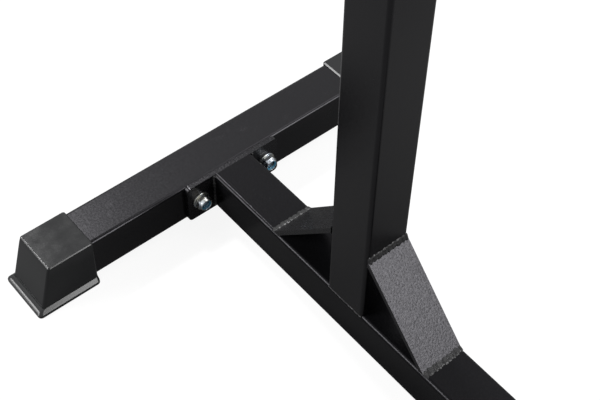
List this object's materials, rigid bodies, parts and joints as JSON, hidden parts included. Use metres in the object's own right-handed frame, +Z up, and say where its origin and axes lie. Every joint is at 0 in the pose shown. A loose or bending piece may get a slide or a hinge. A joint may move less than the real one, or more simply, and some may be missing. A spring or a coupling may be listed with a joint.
{
  "type": "balance beam",
  "caption": "Padded straight balance beam on height-adjustable black steel stands with T-shaped feet, pull pins and clamp knobs.",
  "frame": {"origin": "on the floor, under the middle of the beam", "axes": "+X along the beam, +Y across it away from the pull pins, +Z up"},
  "size_m": [2.44, 0.4962, 0.7892],
  "materials": {
    "powder_coat": "fine-textured satin black powder coat on steel",
    "zinc_plate": "bright zinc plate",
    "spring_steel": "plain drawn wire",
    "nylon_blue": "dull nylon",
    "cap_rubber": "satin moulded rubber",
    "guide_plastic": "dull moulded nylon",
    "knob_plastic": "satin moulded plastic",
    "timber": "planed pine",
    "foam": "closed-cell foam",
    "suede": "brushed synthetic suede"
  },
  "bodies": {
    "stands": {"left_cross_foot": "powder_coat", "left_foot_caps": "cap_rubber", "left_rail_cap": "cap_rubber", "left_floor_rail": "powder_coat", "left_flange_plate": "powder_coat", "left_fixed_post": "powder_coat", "left_inner_gusset": "powder_coat", "left_outer_gusset": "powder_coat", "left_post_bush": "guide_plastic", "left_pin_housing": "powder_coat", "left_clamp_nut": "powder_coat", "right_cross_foot": "powder_coat", "right_foot_caps": "cap_rubber", "right_rail_cap": "cap_rubber", "right_floor_rail": "powder_coat", "right_flange_plate": "powder_coat", "right_fixed_post": "powder_coat", "right_inner_gusset": "powder_coat", "right_outer_gusset": "powder_coat", "right_post_bush": "guide_plastic", "right_pin_housing": "powder_coat", "right_clamp_nut": "powder_coat", "flange_bolts": "zinc_plate", "bolt_head_washers": "zinc_plate", "nut_washers": "zinc_plate", "lock_nuts": "zinc_plate", "lock_nut_rings": "nylon_blue"},
    "beam": {"left_sliding_post": "powder_coat", "left_post_glide": "guide_plastic", "left_saddle_plate": "powder_coat", "left_saddle_ribs": "powder_coat", "right_sliding_post": "powder_coat", "right_post_glide": "guide_plastic", "right_saddle_plate": "powder_coat", "right_saddle_ribs": "powder_coat", "saddle_bolts": "zinc_plate", "saddle_washers": "zinc_plate", "stave_inserts": "zinc_plate", "front_stave": "timber", "rear_stave": "timber", "beam_foam": "foam", "end_pads": "foam", "beam_cover": "suede"},
    "left_pin": {"left_lock_pin": "zinc_plate", "left_pin_spring": "spring_steel", "left_pull_knob": "knob_plastic"},
    "left_clamp": {"left_clamp_screw": "zinc_plate", "left_clamp_knob": "knob_plastic"},
    "right_pin": {"right_lock_pin": "zinc_plate", "right_pin_spring": "spring_steel", "right_pull_knob": "knob_plastic"},
    "right_clamp": {"right_clamp_screw": "zinc_plate", "right_clamp_knob": "knob_plastic"}
  },
  "joints": [
    {"name": "beam_lift", "type": "slide", "parent": "stands", "child": "beam", "axis": [0, 0, 1], "range_m": [0, 0.3]},
    {"name": "left_pin_pull", "type": "slide", "parent": "stands", "child": "left_pin", "axis": [0, -1, 0], "range_m": [0, 0.012], "stiffness_N_per_m": 900, "springref_m": -0.01, "deforming": ["left_pin_spring"]},
    {"name": "left_clamp_turn", "type": "hinge", "parent": "stands", "child": "left_clamp", "pos_m": [-0.85, 0, 0.6], "axis": [-1, 0, 0], "range_deg": [0, 360]},
    {"name": "right_pin_pull", "type": "slide", "parent": "stands", "child": "right_pin", "axis": [0, -1, 0], "range_m": [0, 0.012], "stiffness_N_per_m": 900, "springref_m": -0.01, "deforming": ["right_pin_spring"]},
    {"name": "right_clamp_turn", "type": "hinge", "parent": "stands", "child": "right_clamp", "pos_m": [0.85, 0, 0.6], "axis": [1, 0, 0], "range_deg": [0, 360]}
  ]
}
